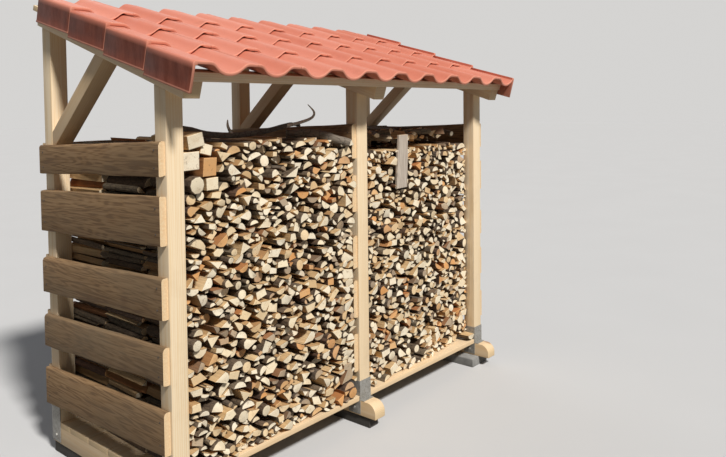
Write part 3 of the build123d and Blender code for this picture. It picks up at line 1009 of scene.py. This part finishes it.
def log_section(rng, a, b):
    """Cross-section of a log in a seat a wide and b high, both from its middle: its points
    in turn, which of its sides are bark, and where the tree's pith lies."""
    kind = rng.random()
    maker = next((maker for limit, maker in SECTIONS if kind < limit), split_section)
    points, is_bark, pith = maker(rng, a, b)
    mirror_x, mirror_z = rng.choice((-1, 1)), rng.choice((-1, 1))
    tilt = rng.gauss(0, 0.34)
    c, s = cos(tilt), sin(tilt)

    def turned(point):
        x, z = point[0] * mirror_x, point[1] * mirror_z
        return (x * c - z * s, x * s + z * c)

    if mirror_x * mirror_z < 0:
        points = points[::-1]
        is_bark = is_bark[-2::-1] + is_bark[-1:]
    return [turned(point) for point in points], is_bark, turned(pith)


RIM = 0.0024
CHAMFER = 0.0013


def add_log(build, rng, x, z, section, front, back, tint, slant=0.012):
    """One log from front to back: split faces, bark, and two sawn ends with a bark rim."""
    points, is_bark, pith = section
    size = sum(hypot(*point) for point in points) / len(points)
    inset = 1 - RIM / size
    offset = rng.uniform(0, 40)
    lean_x, lean_z = rng.uniform(-slant, slant), rng.uniform(-slant, slant) / 2
    cant_x, cant_z = rng.uniform(-0.14, 0.14), rng.uniform(-0.14, 0.14)
    length = back - front
    rims = [float(is_bark[i] or is_bark[i - 1]) for i in range(len(points))]
    rings = []
    marks = []
    rim = []
    for place, scale in (
        (0.0, inset), (CHAMFER, 1.0), (length / 2, 1.02), (length - CHAMFER, 1.0), (length, inset),
    ):
        share = place / length - 0.5
        cant = -copysign(1, share) if abs(share) > 0.4 else 0.0
        ring = []
        for px, pz in points:
            jag = 1 + 0.06 * noise.noise(Vector((px * 60 + offset, pz * 60, share * 3)))
            ring.append((
                x + px * scale * jag + lean_x * share,
                front + place + (cant_x * px + cant_z * pz) * cant,
                z + pz * scale * jag + lean_z * share,
            ))
            marks.append((px - pith[0], pz - pith[1], place + offset))
        rings.append(ring)
        rim += rims if scale == 1.0 else [0.0] * len(points)
    sides = [2 if flag else 1 for flag in is_bark]
    ends = [0] * len(points)
    slots = ends + sides + sides + ends + [0, 0]
    build.loft(rings, slots, tint=tint, pith=marks, rim=rim)


def add_loose_log(build, rng, x, y, z, yaw, pitch, section, length, tint):
    """A log that lies across the others, turned by yaw and raised at its far end by pitch."""
    loose = Builder()
    add_log(loose, rng, 0.0, 0.0, section, -length / 2, length / 2, tint)
    turn = Matrix.Rotation(yaw, 3, "Z") @ Matrix.Rotation(pitch, 3, "X")
    verts = [tuple(turn @ Vector(v) + Vector((x, y, z))) for v in loose.verts]
    build.add(verts, loose.faces, loose.slots, **loose.marks)


def block_section(half_wide, half_high, tilt):
    """Cross-section of a squared offcut of timber."""
    c, s = cos(radians(tilt)), sin(radians(tilt))
    corners = [(-half_wide, -half_high), (half_wide, -half_high)]
    corners += [(half_wide, half_high), (-half_wide, half_high)]
    points = [(x * c - z * s, x * s + z * c) for x, z in corners]
    return points, [False] * 4, (half_wide * 2.2, half_high * 1.6)


# Offcuts and a round log at the upper left of the left bay: middle, half sizes, tilt, tint
OFFCUTS = (
    (-0.9015, 1.2315, 0.0335, 0.0320, 1, 0.10),
    (-0.8265, 1.2060, 0.0305, 0.0320, -1, 0.85),
    (-0.8220, 1.1470, 0.0240, 0.0215, 2, 0.35),
    (-0.8890, 1.3010, 0.0300, 0.0240, 14, 0.20),
    (-0.8360, 1.2680, 0.0235, 0.0190, -16, 0.30),
)
OFFCUT_FRONT = (-0.012, 0.004)
OFFCUT_LENGTH = 0.22
OFFCUT_SLANT = 0.004
ROUND_LOG = (-0.8840, 1.1500, 0.0310)
ROUND_LOG_ENDS = (-0.010, 0.24)
ROUND_LOG_TINT = 0.30

# Loose logs behind the front row of the right stack: how many, and where they lie
TOSSED = 34
TOSSED_Y = (-0.235, -0.10)
TOSSED_BED = 1.235
TOSSED_TOP = 1.316

SHOE_ROOM = 0.0035
LEFT_HEIGHTS = (1.150, 1.150, 1.158, 1.160, 1.163, 1.158, 1.150, 1.138)
RIGHT_HEIGHTS = (1.084, 1.080, 1.086, 1.082, 1.088, 1.084, 1.092, 1.088)
REAR_HEIGHTS = (1.150, 1.166, 1.156, 1.170, 1.160, 1.172, 1.162, 1.168)
bays = (
    ("left", RIGHTS[0], LEFTS[1] - BOARD_THICK, (LEFT_HEIGHTS, LEFT_HEIGHTS, LEFT_HEIGHTS), 7),
    ("right", RIGHTS[1], LEFTS[2], (RIGHT_HEIGHTS, REAR_HEIGHTS, REAR_HEIGHTS), 23),
)
RANKS = 3
WOOD_FRONT = FACE_Y + 0.001
WOOD_BACK = BACK_Y - 0.003
RANK_DEPTH = (WOOD_BACK - WOOD_FRONT) / RANKS
BOTTOM_ROW = 0.030
OFFCUT_CLASH = 0.62

# How unevenly the logs' faces and rear ends lie, and how many faces stand further back
FACE_SCATTER = (-0.013, 0.016)
REAR_SCATTER = (0.002, 0.020)
FURTHER_BACK = (0.02, 0.05)
FURTHER_BACK_SHARE = 0.10
TINT_BIAS = 1.2

# The right bay's front row stands back by this at its left end, and by this more at its right
SET_BACK = 0.010
SET_BACK_MORE = 0.046

# At each bay's right end the front row is fuller and stands less far back, and its
# lowest logs stand at least this proud of the bay's front
END_ROOM = 0.075
END_FULLNESS = 1.2
END_SET_BACK = 0.85
END_PROUD = 0.001

# Logs of the middle rank this far in from the walls and below its top can't be seen
HIDDEN_MARGIN = 0.15
HIDDEN_DEPTH = 0.14


def set_back(bay, share):
    """How far a bay's front row stands behind the posts' faces, across the bay."""
    return SET_BACK + SET_BACK_MORE * share if bay == "right" else 0.0


def taken(x, z, r):
    """Whether a seat is where one of the named offcuts or the round log lies."""
    spots = [spot[:4] for spot in OFFCUTS] + [(*ROUND_LOG, ROUND_LOG[2])]
    wide = r * SQUASH
    return any(
        abs(x - sx) < hx + wide * OFFCUT_CLASH and abs(z - sz) < hz + r * OFFCUT_CLASH
        for sx, sz, hx, hz in spots
    )


def add_rank(build, rng, bay, rank, heights, left, width):
    """One of a bay's ranks of logs, with uneven ends."""
    near = WOOD_FRONT + rank * RANK_DEPTH
    for cx, cz, r in stack_seats(rng, width, heights):
        top = float(np.interp(cx, np.linspace(0, width, len(heights)), heights))
        inner = HIDDEN_MARGIN < cx < width - HIDDEN_MARGIN
        hidden = rank == 1 and inner and cz < top - HIDDEN_DEPTH
        x, z = left + cx, DECK_TOP + cz
        if hidden or (bay == "left" and rank == 0 and taken(x, z, r)):
            continue
        at_end = rank == 0 and cx > width - END_ROOM
        front = near + rng.uniform(*FACE_SCATTER)
        if rng.random() < FURTHER_BACK_SHARE:
            front += rng.uniform(*FURTHER_BACK)
        if rank == 0:
            front += set_back(bay, cx / width)
        if at_end:
            front = min(front, near + set_back(bay, 1.0) * END_SET_BACK)
            if cz < BOTTOM_ROW:
                front = min(front, near - END_PROUD)
        back = min(near + RANK_DEPTH - rng.uniform(*REAR_SCATTER), WOOD_BACK)
        full = END_FULLNESS if at_end else 1.0
        section = log_section(rng, r * SQUASH * full, r * full)
        add_log(build, rng, x, z, section, front, back, rng.random() ** TINT_BIAS)


def add_offcuts(build, rng):
    """The squared offcuts and the round log at the left stack's upper left."""
    for x, z, half_wide, half_high, tilt, tint in OFFCUTS:
        section = block_section(half_wide, half_high, tilt)
        front = WOOD_FRONT + rng.uniform(*OFFCUT_FRONT)
        add_log(build, rng, x, z, section, front, front + OFFCUT_LENGTH, tint, OFFCUT_SLANT)
    x, z, r = ROUND_LOG
    section = round_section(rng, r, r)
    front, back = (WOOD_FRONT + end for end in ROUND_LOG_ENDS)
    add_log(build, rng, x, z, section, front, back, ROUND_LOG_TINT)


def add_tossed(build, rng, left, width):
    """Loose logs thrown on the right stack, spread evenly across it."""
    for k in range(TOSSED):
        share = (k + rng.uniform(0.1, 0.9)) / TOSSED
        r = rng.uniform(0.010, 0.017)
        length = rng.uniform(0.14, 0.21)
        pitch = rng.uniform(-0.14, 0.14)
        yaw = rng.choice((-1, 1)) * rng.uniform(0.25, 1.35)
        y = rng.uniform(*TOSSED_Y)
        reach = length / 2 * sin(abs(pitch)) + r * 1.6
        z = min(TOSSED_TOP - reach, TOSSED_BED + reach + rng.uniform(0.0, 0.02))
        inside = 0.5 * length * abs(sin(yaw)) + 0.03
        x = left + inside + (width - 2 * inside) * share
        section = log_section(rng, r * 1.3, r)
        add_loose_log(build, rng, x, y, z, yaw, pitch, section, length, rng.random())


for bay, left, right, rank_heights, seed in bays:
    rng = random.Random(seed)
    build = Builder()
    left += SHOE_ROOM
    right -= SHOE_ROOM
    width = right - left
    for rank, heights in enumerate(rank_heights):
        add_rank(build, rng, bay, rank, heights, left, width)
    if bay == "left":
        add_offcuts(build, rng)
    else:
        add_tossed(build, rng, left, width)
    build.give(f"logs_{bay}_bay", LOG_FINISH, (f"firewood_{bay}_bay",), smooth=0.5)


# Branches and slat on the stacks
def along_curve(points, share):
    """Place and radius at a share of the way along points, on a smooth curve."""
    spans = len(points) - 1
    k = min(int(share * spans), spans - 1)
    t = share * spans - k
    p0, p1, p2, p3 = (np.array(points[min(max(k + d, 0), spans)]) for d in (-1, 0, 1, 2))
    bend = 2 * p0 - 5 * p1 + 4 * p2 - p3
    return (2 * p1 + (p2 - p0) * t + bend * t**2 + (3 * (p1 - p2) + p3 - p0) * t**3) / 2


LIMB_SIDES = 12
LIMB_RINGS = 36


def add_limb(build, points, seed, tint, slot):
    """A bent limb through points, each a place and the limb's radius there."""
    rings = []
    marks = []
    travelled = 0.0
    last = None
    for k in range(LIMB_RINGS + 1):
        share = k / LIMB_RINGS
        *centre, r = along_curve(points, share)
        after, before = min(1.0, share + 0.01), max(0.0, share - 0.01)
        ahead = along_curve(points, after) - along_curve(points, before)
        centre = Vector(centre)
        ahead = Vector(ahead[:3]).normalized()
        side = ahead.cross(Vector(UPRIGHT)).normalized()
        up = side.cross(ahead)
        travelled += (centre - last).length if last else 0.0
        last = centre
        ring = []
        for i in range(LIMB_SIDES):
            a = 2 * pi * i / LIMB_SIDES
            spot = Vector((cos(a) * 2, sin(a) * 2 + seed, travelled * 16))
            knob = 1 + 0.16 * noise.noise(spot)
            reach = (side * cos(a) + up * sin(a)) * r * knob
            ring.append(tuple(centre + reach))
            marks.append((reach.x + reach.y, reach.z, travelled + seed))
        rings.append(ring)
    slots = [slot] * (LIMB_RINGS * LIMB_SIDES) + [0, 0]
    build.loft(rings, slots, tint=tint, pith=marks)


# Each limb: seed, tint, material slot, and points with the radius there
LIMBS = (
    (3, 0.15, 1, (
        (-0.918, -0.250, 1.343, 0.010), (-0.840, -0.240, 1.337, 0.012),
        (-0.740, -0.225, 1.316, 0.012), (-0.600, -0.215, 1.308, 0.011),
        (-0.460, -0.205, 1.316, 0.011), (-0.340, -0.190, 1.332, 0.010),
        (-0.250, -0.160, 1.342, 0.008), (-0.170, -0.130, 1.334, 0.006),
    )),
    (8, 0.7, 2, (
        (-0.612, -0.214, 1.306, 0.0075), (-0.632, -0.220, 1.326, 0.0065),
        (-0.648, -0.228, 1.346, 0.0050), (-0.655, -0.236, 1.368, 0.0022),
    )),
    (12, 0.7, 2, (
        (-0.310, -0.178, 1.335, 0.0080), (-0.240, -0.190, 1.346, 0.0070),
        (-0.168, -0.200, 1.366, 0.0062), (-0.152, -0.204, 1.392, 0.0048),
        (-0.192, -0.206, 1.426, 0.0016),
    )),
    (17, 0.4, 1, (
        (-0.300, -0.180, 1.300, 0.019), (-0.215, -0.262, 1.300, 0.020),
        (-0.140, -0.330, 1.274, 0.019), (-0.104, -0.368, 1.258, 0.018),
    )),
)
build = Builder()
for seed, tint, slot, points in LIMBS:
    add_limb(build, points, seed, tint, slot)
build.give("branches_on_stack", [wood_end, dark_bark, horn])

SLAT_LEFT, SLAT_WIDTH = 0.256, 0.080
SLAT_LEAN = 0.10
SLAT_TIP_BACK = 0.035
SLAT_Y = WOOD_FRONT + 0.003
SLAT_FOOT = 1.028
SLAT_THICK = 0.014
SLAT_NOTCH = 0.175
SLAT_NARROWING = 0.006
SLAT_EDGE = 0.002
SLAT_SLANT = 0.002
SLAT_CUTS = (0.0, 0.004, 0.04, 0.09, 0.13, SLAT_NOTCH, SLAT_NOTCH + 0.004, 0.21, 0.246, 0.25)
build = Builder()
rings = []
for height in SLAT_CUTS:
    narrow = SLAT_NARROWING if height > SLAT_NOTCH else 0.0
    near = SLAT_Y + SLAT_TIP_BACK * height
    far = near + SLAT_THICK
    edge = SLAT_LEFT + SLAT_LEAN * height
    left = edge + narrow + wander(61, height * 30, 0.0016)
    right = edge + SLAT_WIDTH - narrow / 2 + wander(62, height * 30, 0.0016)
    low = SLAT_FOOT + height
    high = low + SLAT_SLANT
    r = SLAT_EDGE
    rings.append([
        (left + r, near, low), (right - r, near, high), (right, near + r, high),
        (right, near + SLAT_THICK - r, high), (right - r, far, high),
        (left + r, far, low), (left, near + SLAT_THICK - r, low), (left, near + r, low),
    ])
build.loft(rings, tint=0.3, board_shift=(0.4, 0.0, 0.2))
build.give("leaning_slat", [slat_wood])


# Floor, backdrop and light
FLOOR_REACH = 60.0
FLOOR_UNSEEN = (0.20, 0.195, 0.185, 1.0)
AMBIENT = (0.125, 0.13, 0.14, 1.0)
BACKDROP = (0.664, 0.655, 0.642, 1.0)

g = surface("studio_floor", 0.9, specular=0.0)
shown = g.ramp(g.noise(1, 1.3, 2, 0.5), (0.0, (206, 206, 206)), (1.0, (210, 210, 210)))
mesh = bpy.data.meshes.new("studio_floor")
corners = [(x * FLOOR_REACH, y * FLOOR_REACH, 0) for x, y in ((-1, -1), (1, -1), (1, 1), (-1, 1))]
mesh.from_pydata(corners, [], [(0, 1, 2, 3)])
g.colour = g.seen(FLOOR_UNSEEN, shown)
mesh.materials.append(g.finish())
floor = add_object("studio_floor", mesh)
floor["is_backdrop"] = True

world = Graph(bpy.data.worlds.new("studio"), "Background", {"Strength": 1.0})
world.put(world.shader["Color"], world.seen(AMBIENT, BACKDROP))
bpy.context.scene.world = world.owner


def soft_lamp(name, toward, strength, softness, colour):
    """A lamp far off in the given direction, its softness an angle in degrees."""
    lamp = bpy.data.lights.new(name, "SUN")
    lamp.energy = strength
    lamp.angle = radians(softness)
    lamp.color = colour
    add_object(name, lamp).rotation_euler = Vector(toward).to_track_quat("Z", "Y").to_euler()


soft_lamp("key", (-0.18, -0.66, 0.72), 3.8, 7, (1.0, 0.975, 0.94))
soft_lamp("rear", (0.35, 0.80, 0.62), 0.28, 40, (0.96, 0.98, 1.0))

# The camera stands where the photographer stood, at the photo's focal length
PHOTO_WIDTH = 726
FOCAL = 699.71
SHIFT_UP = -91.155
YAW, PITCH, ROLL = 0.871, 0.0407, -0.0109
STANDPOINT = (-2.3507, -2.3324, 1.4044)
camera = bpy.data.cameras.new("view")
camera.sensor_width = 36.0
camera.lens = FOCAL * camera.sensor_width / PHOTO_WIDTH
camera.shift_y = SHIFT_UP / PHOTO_WIDTH
camera.clip_end = 200
ahead = Vector((sin(YAW) * cos(PITCH), cos(YAW) * cos(PITCH), -sin(PITCH)))
across = Vector((cos(YAW), -sin(YAW), 0))
upward = across.cross(ahead)
rolled_across = across * cos(ROLL) + upward * sin(ROLL)
rolled_up = upward * cos(ROLL) - across * sin(ROLL)
view = add_object("view", camera)
turn = Matrix((rolled_across, rolled_up, -ahead)).transposed().to_4x4()
view.matrix_world = Matrix.Translation(STANDPOINT) @ turn
bpy.context.scene.camera = view
bpy.context.scene.view_settings.view_transform = "Standard"

visual_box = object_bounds()
boxes = {"cad": cad_box, "visual": visual_box}
{name: [list(corner) for corner in box] for name, box in boxes.items()}
